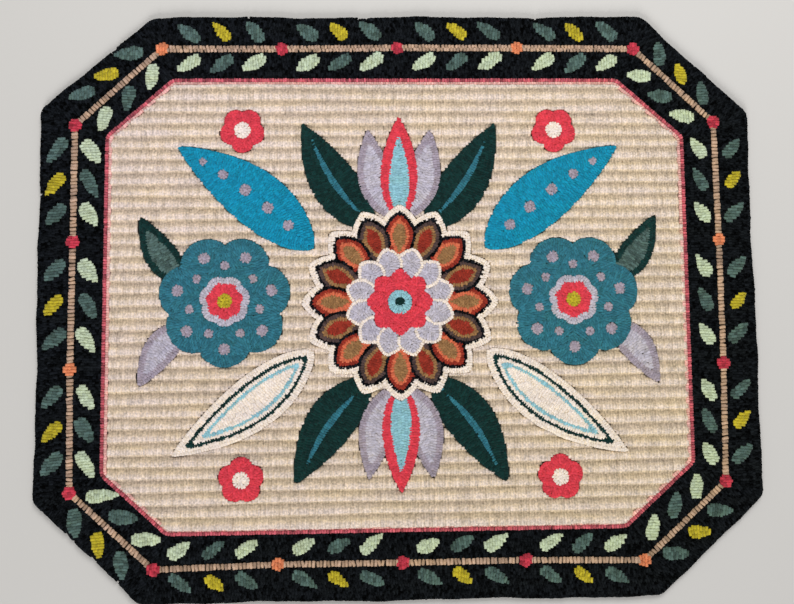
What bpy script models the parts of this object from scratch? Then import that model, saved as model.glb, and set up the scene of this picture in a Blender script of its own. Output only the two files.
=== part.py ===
"""Hooked rug: wool loops on a linen foundation, an uneven rectangle with cut corners that lies flat.

The cloth, its turned hem and the pile are one piece, so the rug is one solid. The border and the flowers are
level; the ground between them is hooked in straight ribs, which are grooves cut between the shapes of the
flowers. Metres, +Z up, the rug's long side along X, its far side at +Y, origin at the middle of the underside.
"""

import math

import bmesh
import bpy
import numpy as np

MM = 0.001

# The rug's own outline, corner by corner, anticlockwise from the far side's right end, as worked by hand
OUTER_CORNERS = (  # x, y in millimetres
    (266.1, 311.3), (-266.4, 309.5),
    (-383.2, 207.2), (-382.6, -207.6),
    (-273.3, -311.2), (272.0, -311.0),
    (383.3, -206.5), (379.2, 205.6),
)
# The line between the black border and the ribbed ground, in the same order
GROUND_CORNERS = (  # x, y in millimetres
    (237.4, 240.2), (-242.3, 239.9),
    (-311.2, 179.0), (-312.1, -179.0),
    (-244.8, -240.6), (236.3, -238.4),
    (310.0, -172.1), (307.9, 178.5),
)
OUTLINE_STEP = 14.0          # distance between the points of the outline
HAND_WAVES = (  # height, length along the edge, start, in millimetres and radians
    (0.7, 210.0, 0.6),
    (0.5, 83.0, 2.1),
    (0.3, 37.0, 4.0),
)

# The rug's edge from the table up, where the outer loops lean over the hem
EDGE_PROFILE = (  # inset, height in millimetres
    (1.4, 0.0),
    (0.0, 1.8),
    (0.2, 4.2),
    (1.4, 6.1),
    (3.8, 7.0),
)
PILE_TOP = EDGE_PROFILE[-1][1]

# The ribs of the ground
RIB_PITCH = 12.97            # from one rib to the next
RIB_ORIGIN = -236.4          # the near side of the lowest rib, from which the grooves are counted
GROOVES = 36
RIB_SLOPE = 0.0071           # rise to the right of the lowest rib's near side
RIB_SLOPE_LOSS = 0.00018     # how much less each groove above it rises
GROUND_MARGIN = 5.0          # level rows beside the border
FLOWER_MARGIN = 2.0          # level row around each flower and leaf
SHORTEST_GROOVE = 12.0
GROOVE_STEP = 150.0          # distance between the sections of a long groove
GROOVE_WANDER = 0.6          # how far a groove strays from its straight line
GROOVE_SECTION = (  # across the rib, above the pile's top, in millimetres: steeper below the rib above
    (-7.2, 0.5),
    (-4.2, -0.7),
    (-1.3, -1.6),
    (0.9, -1.6),
    (2.6, -0.7),
    (4.4, 0.5),
)
GROOVE_END_TAPER = 2.0       # how much shorter a groove is at its floor than at the top
SAMPLE_STEP = 2.0            # spacing of the test points that find where a groove may run

# The flowers and leaves, each with its twin on the left; the middle ones have none
BLOOMS = (  # x, y, radius, lobes, lobe depth, twin
    (0.0, 0.0, 103.0, 16, 0.06, False),
    (186.0, 2.0, 70.0, 7, 0.14, True),
    (168.0, 186.0, 24.0, 5, 0.18, True),
    (168.0, -186.0, 24.0, 5, 0.18, True),
)
LEAVES = (  # base x, base y, tip x, tip y, width, sideways bend, twin
    (30.0, 78.0, 104.0, 192.0, 50.0, -6.0, True),
    (34.0, -80.0, 112.0, -190.0, 50.0, 6.0, True),
    (92.0, 58.0, 236.0, 168.0, 60.0, 6.0, True),
    (92.0, -52.0, 240.0, -160.0, 56.0, -6.0, True),
    (226.0, 20.0, 276.0, 92.0, 34.0, -5.0, True),
    (226.0, -20.0, 276.0, -88.0, 34.0, 5.0, True),
    (0.0, 86.0, 34.0, 186.0, 40.0, -8.0, True),
    (0.0, -86.0, 34.0, -186.0, 40.0, 8.0, True),
    (0.0, 88.0, 0.0, 200.0, 40.0, 0.0, False),
    (0.0, -88.0, 0.0, -200.0, 40.0, 0.0, False),
)
BLOOM_POINTS = 96
LEAF_POINTS = 16
LEAF_BELLY = 0.42            # how far along its length a leaf is widest

PILE_COLOUR = (0.60, 0.52, 0.43, 1.0)
PILE_ROUGHNESS = 0.95


def clear_scene() -> None:
    """Remove every object that the file holds."""
    for item in list(bpy.data.objects):
        bpy.data.objects.remove(item, do_unlink=True)


def wool(name: str) -> bpy.types.Material:
    """Make the plain wool finish of the pile."""
    material = bpy.data.materials.new(name)
    material.use_nodes = True
    shader = material.node_tree.nodes["Principled BSDF"]
    shader.inputs["Base Color"].default_value = PILE_COLOUR
    shader.inputs["Roughness"].default_value = PILE_ROUGHNESS
    shader.inputs["Metallic"].default_value = 0.0
    return material


def hand_worked_outline(corners: tuple) -> np.ndarray:
    """Walk round the corners in even steps, with soft corners and the small waves of an edge made by hand.

    The outline comes back centred on the origin.
    """
    corner = np.array(corners)
    side = np.roll(corner, -1, axis=0) - corner
    length = np.linalg.norm(side, axis=1)
    points, outward, travelled = [], [], []
    walked = 0.0
    for start, step, reach in zip(corner, side, length):
        count = max(2, round(reach / OUTLINE_STEP))
        for part in range(count):
            points.append(start + step * part / count)
            outward.append((step[1] / reach, -step[0] / reach))
            travelled.append(walked + reach * part / count)
        walked += reach
    points, outward, travelled = np.array(points), np.array(outward), np.array(travelled)
    for height, wave, start in HAND_WAVES:
        turns = round(walked / wave)
        points += outward * (height * np.sin(2 * np.pi * turns * travelled / walked + start))[:, None]
    softened = (np.roll(points, 1, axis=0) + 2 * points + np.roll(points, -1, axis=0)) / 4
    return softened - (softened.min(axis=0) + softened.max(axis=0)) / 2


def inset(outline: np.ndarray, distance: float) -> np.ndarray:
    """Move an anticlockwise outline inwards, square to its own run."""
    along = np.roll(outline, -1, axis=0) - np.roll(outline, 1, axis=0)
    along /= np.linalg.norm(along, axis=1)[:, None]
    inwards = np.stack((-along[:, 1], along[:, 0]), axis=1)
    return outline + inwards * distance


def bloom_outline(x: float, y: float, radius: float, lobes: int, depth: float) -> np.ndarray:
    """Draw a round flower with a lobed rim."""
    turn = np.linspace(0.0, 2 * np.pi, BLOOM_POINTS, endpoint=False)
    reach = radius * (1 - depth + depth * np.abs(np.sin(lobes * (turn - np.pi / 2) / 2)))
    return np.stack((x + reach * np.cos(turn), y + reach * np.sin(turn)), axis=1)


def leaf_outline(base: tuple, tip: tuple, width: float, bend: float) -> np.ndarray:
    """Draw a pointed leaf from its base to its tip, bowed sideways by its bend."""
    base, tip = np.array(base), np.array(tip)
    length = np.linalg.norm(tip - base)
    along = (tip - base) / length
    across = np.array((-along[1], along[0]))
    part = np.linspace(0.0, 1.0, LEAF_POINTS)
    half = width / 2 * np.sin(np.pi * part ** (math.log(0.5) / math.log(LEAF_BELLY))) ** 0.8
    middle = bend * np.sin(np.pi * part)
    spine = base + np.outer(part * length, along)
    left = spine + np.outer(middle + half, across)
    right = spine + np.outer(middle - half, across)
    return np.concatenate((left, right[-2:0:-1]))


def mirrored(outline: np.ndarray) -> np.ndarray:
    """Give the twin of an outline on the rug's other side."""
    return outline * np.array((-1.0, 1.0))


def flower_outlines() -> list[np.ndarray]:
    """Draw every flower and leaf that interrupts the ribs."""
    outlines = []
    for x, y, radius, lobes, depth, twin in BLOOMS:
        outline = bloom_outline(x, y, radius, lobes, depth)
        outlines += [outline, mirrored(outline)] if twin else [outline]
    for base_x, base_y, tip_x, tip_y, width, bend, twin in LEAVES:
        outline = leaf_outline((base_x, base_y), (tip_x, tip_y), width, bend)
        outlines += [outline, mirrored(outline)] if twin else [outline]
    return outlines


def crossings(outline: np.ndarray, y: float) -> list[tuple[float, float]]:
    """List the stretches of a level line that lie inside an outline.

    Args:
        outline: the closed outline's points.
        y: how far up the rug the line runs.

    Returns:
        Pairs of the stretch's left and right ends.
    """
    end = np.roll(outline, -1, axis=0)
    meets = (outline[:, 1] > y) != (end[:, 1] > y)
    start, end = outline[meets], end[meets]
    cuts = start[:, 0] + (y - start[:, 1]) * (end[:, 0] - start[:, 0]) / (end[:, 1] - start[:, 1])
    cuts = sorted(cuts)
    return list(zip(cuts[0::2], cuts[1::2]))


def free_stretches(y: float, flowers: list[np.ndarray]) -> list[tuple[float, float]]:
    """Find where a groove may run at one height: on the ground and clear of every flower and leaf."""
    (left, right), = crossings(np.array(GROUND_CORNERS), y)
    x = np.arange(left + GROUND_MARGIN, right - GROUND_MARGIN, SAMPLE_STEP)
    free = np.ones(len(x), dtype=bool)
    for outline in flowers:
        for low, high in crossings(outline, y):
            free &= (x < low - FLOWER_MARGIN) | (x > high + FLOWER_MARGIN)
    change = np.flatnonzero(np.diff(np.concatenate(([False], free, [False])).astype(int)))
    runs = [(x[first], x[last - 1]) for first, last in zip(change[0::2], change[1::2])]
    return [(low, high) for low, high in runs if high - low >= SHORTEST_GROOVE]


def rug_slab() -> bpy.types.Object:
    """Build the cloth and level pile as one closed slab with a rounded edge, centred on its outline."""
    outline = hand_worked_outline(OUTER_CORNERS)
    mesh = bmesh.new()
    rings = []
    for depth, height in EDGE_PROFILE:
        ring = inset(outline, depth)
        rings.append([mesh.verts.new((x * MM, y * MM, height * MM)) for x, y in ring])
    for lower, upper in zip(rings, rings[1:]):
        for index, corner in enumerate(lower):
            after = (index + 1) % len(lower)
            mesh.faces.new((corner, lower[after], upper[after], upper[index]))
    mesh.faces.new(reversed(rings[0]))
    mesh.faces.new(rings[-1])
    return as_object("hooked_rug", mesh)


def groove_cutter(flowers: list[np.ndarray]) -> bpy.types.Object:
    """Build the bars that cut the grooves between the ribs, each ending clear of the flowers."""
    mesh = bmesh.new()
    for number in range(1, GROOVES + 1):
        y = RIB_ORIGIN + number * RIB_PITCH
        for left, right in free_stretches(y, flowers):
            sections = max(2, 1 + round((right - left) / GROOVE_STEP))
            rings = []
            for place in np.linspace(0.0, 1.0, sections):
                along = left + place * (right - left)
                stray = GROOVE_WANDER * math.sin(0.02 * along + 1.7 * number)
                stray += (RIB_SLOPE - RIB_SLOPE_LOSS * number) * along
                ring = []
                for across, height in GROOVE_SECTION:
                    taper = GROOVE_END_TAPER * max(0.0, -height) * (1 - 2 * place)
                    x = along + taper * (place in (0.0, 1.0))
                    ring.append(mesh.verts.new((x * MM, (y + across + stray) * MM, (PILE_TOP + height) * MM)))
                rings.append(ring)
            for first, second in zip(rings, rings[1:]):
                for index, corner in enumerate(first):
                    after = (index + 1) % len(first)
                    mesh.faces.new((corner, second[index], second[after], first[after]))
            mesh.faces.new(rings[0])
            mesh.faces.new(reversed(rings[-1]))
    bmesh.ops.recalc_face_normals(mesh, faces=mesh.faces)
    cutter = as_object("rib_groove_cutter", mesh)
    cutter.hide_render = True
    cutter.display_type = "WIRE"
    return cutter


def as_object(name: str, mesh: bmesh.types.BMesh) -> bpy.types.Object:
    """Turn a finished bmesh into a named object in the scene."""
    data = bpy.data.meshes.new(name)
    mesh.to_mesh(data)
    mesh.free()
    item = bpy.data.objects.new(name, data)
    bpy.context.scene.collection.objects.link(item)
    return item


def main() -> None:
    """Build the rug: the slab, less the grooves between its ribs."""
    clear_scene()
    rug = rug_slab()
    rug.data.materials.append(wool("wool_pile"))
    grooves = rug.modifiers.new("ribs", "BOOLEAN")
    grooves.operation = "DIFFERENCE"
    grooves.solver = "EXACT"
    grooves.object = groove_cutter(flower_outlines())


main()
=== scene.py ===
"""Looks of the hooked rug: a linen foundation with its hem, and wool pile worked loop by loop in rows.

The design is a list of flat shapes. Each is hooked in rows that echo its outline, and the ground in straight
rows that form ribs. Every row becomes a run of loops, and the loops of one yarn are one piece of pile.
"""

from __future__ import annotations

import logging
import math
from dataclasses import dataclass, field
from enum import Enum
from typing import Callable, Iterator, Sequence

import bpy
import numpy as np
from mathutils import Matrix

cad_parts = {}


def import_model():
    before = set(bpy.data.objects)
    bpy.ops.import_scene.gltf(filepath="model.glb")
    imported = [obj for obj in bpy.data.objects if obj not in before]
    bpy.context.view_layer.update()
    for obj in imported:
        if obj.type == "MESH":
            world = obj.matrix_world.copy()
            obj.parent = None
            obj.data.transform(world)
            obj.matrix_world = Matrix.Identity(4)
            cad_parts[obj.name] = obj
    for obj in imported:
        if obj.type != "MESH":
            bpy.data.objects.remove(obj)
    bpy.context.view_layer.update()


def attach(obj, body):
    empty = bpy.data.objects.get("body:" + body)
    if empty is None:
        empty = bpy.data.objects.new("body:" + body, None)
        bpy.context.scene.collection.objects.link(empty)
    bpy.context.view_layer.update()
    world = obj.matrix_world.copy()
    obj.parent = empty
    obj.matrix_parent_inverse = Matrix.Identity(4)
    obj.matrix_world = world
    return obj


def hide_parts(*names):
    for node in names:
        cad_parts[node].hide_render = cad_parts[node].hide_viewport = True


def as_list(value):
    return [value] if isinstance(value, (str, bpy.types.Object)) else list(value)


log = logging.getLogger("hooked_rug")

Points = np.ndarray
Socket = bpy.types.NodeSocket

MM = 0.001
SEED = 1847
RUG_NODE = "hooked_rug"


@dataclass(frozen=True)
class Wool:
    """One dyed yarn.

    red, green and blue are its colour in even light, from 0 to 255; mottle is how far its loops differ in
    shade, from 0 for none, sheen how much its fuzz catches the light, fleck how far its shade changes within
    a loop, and the warmth of its painted shade how much yellower it is drawn down in the pile.
    """

    red: int
    green: int
    blue: int
    mottle: float = 0.16
    sheen: float = 0.12
    fleck: float = 0.5
    # painted shade: a yellow tint down in the pile
    shade_warmth: float = 0.17

    def colour(self) -> tuple[float, float, float, float]:
        """Give the yarn's colour as a shader takes it."""
        return tuple(linear(part / 255) for part in (self.red, self.green, self.blue)) + (1.0,)


class Yarn(Enum):
    """The yarns that the rug is worked in."""

    BLACK = Wool(18, 21, 26, 0.90, 0.0, 3.2)
    BARK = Wool(188, 158, 137, 0.30, 0.12, 0.9)
    SPRUCE = Wool(80, 103, 99, 0.40, 0.12, 1.0)
    SAGE = Wool(194, 208, 181, 0.14, 0.12, 1.0)
    MUSTARD = Wool(190, 174, 46, 0.22, 0.12, 0.9)
    BERRY = Wool(190, 57, 74, 0.35, 0.12, 1.0)
    MARIGOLD = Wool(226, 136, 94, 0.20)
    ROSE = Wool(200, 96, 112, 0.45, 0.12, 1.6)
    BLUSH = Wool(248, 194, 194, 0.20, 0.12, 0.9)
    OATMEAL = Wool(228, 210, 198, 0.12, 0.12, 1.5, 0.20)
    TEAL = Wool(52, 118, 136, 0.22)
    TURQUOISE = Wool(20, 146, 182, 0.18)
    MAUVE = Wool(170, 158, 172)
    FOREST = Wool(15, 50, 48, 0.35)
    DOVE = Wool(196, 190, 204)
    IVORY = Wool(250, 236, 226, 0.07)
    SKY = Wool(150, 200, 214)
    CORAL = Wool(226, 68, 84)
    UMBER = Wool(84, 66, 64, 0.28)
    RUST = Wool(152, 52, 38, 0.25)
    TAN = Wool(156, 116, 76, 0.22)
    APRICOT = Wool(216, 112, 80)


def linear(part: float) -> float:
    """Turn one display colour value, from 0 to 1, into a linear one."""
    return part / 12.92 if part <= 0.04045 else ((part + 0.055) / 1.055) ** 2.4


# The design's outlines, all closed and anticlockwise


def unit(vectors: Points) -> Points:
    """Scale each vector of a list to length 1."""
    return vectors / np.linalg.norm(vectors, axis=-1, keepdims=True)


def run_direction(outline: Points) -> Points:
    """Give the direction in which a closed outline runs at each of its points."""
    return unit(np.roll(outline, -1, axis=0) - np.roll(outline, 1, axis=0))


def offset(outline: Points, inwards: float) -> Points:
    """Move an anticlockwise outline inwards, or outwards by a negative distance."""
    along = run_direction(outline)
    return outline + inwards * np.stack((-along[:, 1], along[:, 0]), axis=1)


def resampled(outline: Points, step: float) -> Points:
    """Space the points of a closed outline evenly.

    Args:
        outline: the outline.
        step: about how far apart the points are.

    Returns:
        The new outline.
    """
    closed = np.concatenate((outline, outline[:1]))
    walked = np.concatenate(([0.0], np.cumsum(np.linalg.norm(np.diff(closed, axis=0), axis=1))))
    stations = np.linspace(0.0, walked[-1], max(8, round(walked[-1] / step)), endpoint=False)
    return np.stack([np.interp(stations, walked, closed[:, axis]) for axis in (0, 1)], axis=1)


def softened(outline: Points, passes: int) -> Points:
    """Round off the corners of an outline a little with each pass."""
    for _ in range(passes):
        outline = (np.roll(outline, 1, axis=0) + 2 * outline + np.roll(outline, -1, axis=0)) / 4
    return outline


def mirrored(outline: Points) -> Points:
    """Give an outline's twin on the other side of the rug, still anticlockwise."""
    return (outline * np.array((-1.0, 1.0)))[::-1]


def lobed(centre: Sequence[float], radius: float, lobes: int, depth: float, turn: float = 0.0) -> Points:
    """Draw a round flower whose rim bulges out in lobes.

    Args:
        centre: the flower's middle.
        radius: its reach at the top of a lobe.
        lobes: how many lobes go round it.
        depth: how deep the dips between them are, as a share of the radius.
        turn: the direction of the first dip, in radians.

    Returns:
        The outline's points.
    """
    angle = np.linspace(0.0, 2 * np.pi, 240, endpoint=False)
    reach = radius * (1 - depth + depth * np.abs(np.sin(lobes * (angle - turn) / 2)) ** 0.7)
    return np.array(centre) + np.stack((reach * np.cos(angle), reach * np.sin(angle)), axis=1)


def leaf(
    base: Sequence[float], tip: Sequence[float], width: float, bend: float = 0.0, belly: float = 0.42
) -> Points:
    """Draw a pointed leaf or petal.

    Args:
        base: where it grows from.
        tip: where it ends.
        width: its greatest width.
        bend: how far its middle bows to the left of the way to the tip.
        belly: how far along it is widest, from 0 at the base to 1 at the tip.

    Returns:
        The outline's points.
    """
    start, end = np.array(base), np.array(tip)
    along = unit(end - start)
    across = np.array((-along[1], along[0]))
    part = np.linspace(0.0, 1.0, 60)
    half = width / 2 * np.sin(np.pi * part ** (math.log(0.5) / math.log(belly))) ** 0.8
    middle = bend * np.sin(np.pi * part)
    spine = start + np.outer(part, end - start)
    right = spine + np.outer(middle - half, across)
    left = spine + np.outer(middle + half, across)
    return np.concatenate((right, left[-2:0:-1]))


@dataclass(frozen=True, eq=False)
class Shape:
    """One shape of the design.

    outline is its closed edge, and yarns are those of its rows from the rim inwards, of which the last goes
    on to the middle. rows limits how many echo the outline. hole is an inner edge beyond which another shape
    lies. lift raises its loops a little above those around it. grain is the way that its rows run where they
    are straight and filled from side to side. stitch is how it is worked, if not in the usual way.
    """

    outline: Points
    yarns: tuple[Yarn, ...]
    rows: int = 99
    hole: Points | None = None
    lift: float = 0.0
    grain: Points | None = None
    stitch: Stitch | None = None


@dataclass(frozen=True)
class RugPlan:
    """The rug's edge and the edge of its ground, as they were worked by hand, in metres."""

    corners: tuple[tuple[float, float], ...] = (
        (0.2661, 0.3113), (-0.2664, 0.3095), (-0.3832, 0.2072), (-0.3826, -0.2076),
        (-0.2733, -0.3112), (0.2720, -0.3110), (0.3833, -0.2065), (0.3792, 0.2056),
    )
    ground_corners: tuple[tuple[float, float], ...] = (
        (0.2374, 0.2411), (-0.2428, 0.2408), (-0.3121, 0.1795), (-0.3130, -0.1790),
        (-0.2448, -0.2406), (0.2363, -0.2384), (0.3100, -0.1721), (0.3079, 0.1785),
    )
    waves: tuple[tuple[float, float, float], ...] = (  # height, length, start in radians
        (0.0007, 0.210, 0.6), (0.0005, 0.083, 2.1), (0.0003, 0.037, 4.0),
    )
    step: float = 2.5 * MM

    def edge(self) -> Points:
        """Draw the rug's edge with the small waves of hand work, centred on the origin."""
        outline = resampled(np.array(self.corners), self.step)
        along = run_direction(outline)
        outward = np.stack((along[:, 1], -along[:, 0]), axis=1)
        around = np.linspace(0.0, 2 * np.pi, len(outline), endpoint=False)
        length = len(outline) * self.step
        for height, wave, start in self.waves:
            outline = outline + outward * (height * np.sin(round(length / wave) * around + start))[:, None]
        outline = softened(outline, 6)
        return outline - (outline.min(axis=0) + outline.max(axis=0)) / 2

    def ground_edge(self) -> Points:
        """Draw the middle of the pink line round the ground."""
        return softened(resampled(np.array(self.ground_corners), self.step), 2)


@dataclass(frozen=True)
class Stitch:
    """One way of working loops: their size, how far apart they are, and how unsteadily they lie.

    length is across the row, width and step along it; swing is the usual turn out of line, in radians.
    """

    length: float
    width: float
    step: float
    swing: float


FIELD = Stitch(5.3 * MM, 3.6 * MM, 2.75 * MM, 0.15)
RIM = Stitch(4.3 * MM, 3.4 * MM, 2.60 * MM, 0.08)
PATCH = Stitch(4.4 * MM, 3.3 * MM, 2.75 * MM, 0.15)
LINE = Stitch(4.3 * MM, 3.1 * MM, 2.75 * MM, 0.12)
FRINGE = Stitch(3.6 * MM, 3.3 * MM, 2.60 * MM, 0.08)
BAR = Stitch(4.6 * MM, 3.7 * MM, 2.85 * MM, 0.13)


@dataclass(frozen=True)
class Gauge:
    """The maker's gauge: how far apart the rows are, how high the pile is, and how bars are laid.

    cover is how far a shape's loops reach past its outline. The ends of bars are ragged, their breaks are
    uneven by a share of a loop, and the loops of one bar overlap.
    """

    row: float = 3.4 * MM
    pile_top: float = 7.0 * MM
    cover: float = 0.65 * MM
    ragged: float = 0.35 * MM
    most_ragged: float = 0.5 * MM
    uneven: float = 0.2
    overlap: float = 1.5 * MM

    def rows(self, shape: Shape, rng: np.random.Generator) -> Iterator[tuple]:
        """Walk a shape's rows.

        Args:
            shape: the shape to fill.
            rng: where the uneven breaks between bars come from.

        Yields:
            The yarn and stitch of a row or more, the places of the loops, the direction of the row at each,
            and the length of each.
        """
        if shape.grain is None:
            for yarn, stitch, places, directions in self.echo_rows(shape):
                yield yarn, stitch, places, directions, np.full(len(places), stitch.length)
        else:
            yield shape.yarns[0], BAR, *self.bars(shape, rng)

    def echo_rows(self, shape: Shape) -> Iterator[tuple[Yarn, Stitch, Points, Points]]:
        """Walk the rows that echo a shape's outline, from its rim inwards.

        Args:
            shape: the shape to fill.

        Yields:
            The row's yarn and stitch, the places of its loops, and the direction of the row at each.
        """
        outline = shape.outline
        along = run_direction(outline)
        for number in range(shape.rows):
            depth = (number + 0.5) * self.row
            line = offset(outline, depth)
            clear = nearest_distance(line, outline) > depth - 0.08 * self.row
            if not clear.any():
                return
            stitch = shape.stitch or (FIELD if number else RIM)
            places, directions = spaced_along(line, along, clear, stitch.step)
            yield shape.yarns[min(number, len(shape.yarns) - 1)], stitch, places, directions

    def bars(self, shape: Shape, rng: np.random.Generator) -> tuple[Points, Points, Points]:
        """Fill a shape with bars laid side by side across its grain, the long ones worked as several loops.

        Args:
            shape: the shape to fill.
            rng: where the uneven ends and breaks come from.

        Returns:
            The loops' places, the direction of the row at each, and the length of each.
        """
        frame = np.stack((shape.grain, (-shape.grain[1], shape.grain[0])), axis=1)
        start = shape.outline @ frame
        end = np.roll(start, -1, axis=0)
        reach = np.ptp(start[:, 0])
        columns = max(1, round(reach / BAR.step))
        places, lengths = [], []
        for station in start[:, 0].min() + (np.arange(columns) + 0.5) * reach / columns:
            meets = (start[:, 0] > station) != (end[:, 0] > station)
            share = (station - start[meets, 0]) / (end[meets, 0] - start[meets, 0])
            cuts = np.sort(start[meets, 1] + share * (end[meets, 1] - start[meets, 1]))
            cuts = cuts + rng.normal(0, self.ragged, len(cuts)).clip(-self.most_ragged, self.most_ragged)
            for low, high in zip(cuts[0::2], cuts[1::2]):
                count = max(1, round((high - low) / BAR.length))
                breaks = np.linspace(low, high, count + 1)
                breaks[1:-1] += rng.uniform(-self.uneven, self.uneven, count - 1) * (high - low) / count
                places += [(station, middle) for middle in (breaks[1:] + breaks[:-1]) / 2]
                lengths += list(np.diff(breaks) + self.overlap)
        places = np.array(places) @ frame.T
        return places, np.tile(shape.grain, (len(places), 1)), np.array(lengths)


def nearest_distance(points: Points, outline: Points) -> Points:
    """Give each point's distance to the nearest point of an outline."""
    apart = points[:, None, :] - outline[None, :, :]
    return np.sqrt(np.min(np.einsum("ijk,ijk->ij", apart, apart), axis=1))


def spaced_along(line: Points, along: Points, clear: Points, step: float) -> tuple[Points, Points]:
    """Place loops evenly on the clear stretches of a closed line.

    Args:
        line: the closed line's points.
        along: its direction at each point.
        clear: whether each point may take a loop.
        step: about how far apart the loops are.

    Returns:
        The loops' places, and the line's direction at each.
    """
    if clear.all():
        line, along = np.concatenate((line, line[:1])), np.concatenate((along, along[:1]))
        stretches = [(0, len(line))]
    else:
        first = int(np.argmin(clear))
        line, along, clear = (np.roll(item, -first, axis=0) for item in (line, along, clear))
        change = np.flatnonzero(np.diff(np.concatenate(([False], clear, [False])).astype(int)))
        stretches = list(zip(change[0::2], change[1::2]))
    places, directions = [], []
    for start, end in stretches:
        part, run = line[start:end], along[start:end]
        walked = np.concatenate(([0.0], np.cumsum(np.linalg.norm(np.diff(part, axis=0), axis=1))))
        loops = max(1, round(walked[-1] / step))
        stations = (np.arange(loops) + 0.5) * walked[-1] / loops
        places.append(np.stack([np.interp(stations, walked, part[:, axis]) for axis in (0, 1)], axis=1))
        directions.append(np.stack([np.interp(stations, walked, run[:, axis]) for axis in (0, 1)], axis=1))
    return np.concatenate(places), np.concatenate(directions)


class CoverMap:
    """Which shape lies uppermost at each point of the rug, kept on a fine grid."""

    CELL = 0.5 * MM

    def __init__(self, half_width: float, half_height: float) -> None:
        """Start with nothing covered.

        Args:
            half_width: the map's reach to either side of the origin.
            half_height: its reach up and down.
        """
        self.corner = np.array((-half_width, -half_height))
        self.shape = (math.ceil(2 * half_height / self.CELL), math.ceil(2 * half_width / self.CELL))
        self.owner = np.full(self.shape, -1, dtype=np.int32)

    def paint(self, outline: Points, number: int) -> None:
        """Give all that lies inside an outline to a shape.

        Args:
            outline: the outline.
            number: the shape's number.
        """
        cells = (outline - self.corner) / self.CELL
        after = np.roll(cells, -1, axis=0)
        low, high = int(cells[:, 1].min()), int(cells[:, 1].max()) + 1
        for row in range(max(low, 0), min(high, self.shape[0])):
            meets = (cells[:, 1] > row) != (after[:, 1] > row)
            start, end = cells[meets], after[meets]
            cuts = start[:, 0] + (row - start[:, 1]) * (end[:, 0] - start[:, 0]) / (end[:, 1] - start[:, 1])
            cuts = np.sort(cuts).round().astype(int)
            for left, right in zip(cuts[0::2], cuts[1::2]):
                self.owner[row, max(left, 0):max(right, 0)] = number

    def cells_of(self, points: Points) -> tuple[Points, Points]:
        """Give the map's row and column of each point."""
        cells = ((points - self.corner) / self.CELL).astype(int)
        return cells[:, 1].clip(0, self.shape[0] - 1), cells[:, 0].clip(0, self.shape[1] - 1)

    def owner_at(self, points: Points) -> Points:
        """Give the number of the shape that lies uppermost at each point."""
        return self.owner[self.cells_of(points)]


@dataclass(frozen=True)
class LeafHabit:
    """How the leaves along one side of the border sit.

    The gaps are the distances from the vine to the middles of the leaves outside and inside it, in
    millimetres, and the leans are their angles to the vine, in degrees. size is a share of the usual, and
    shift how far the leaves sit on from their usual stations, as a share of the stretch.
    """

    outer_gap: float
    inner_gap: float
    outer_lean: float
    inner_lean: float
    size: float
    shift: float = 0.0


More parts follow.
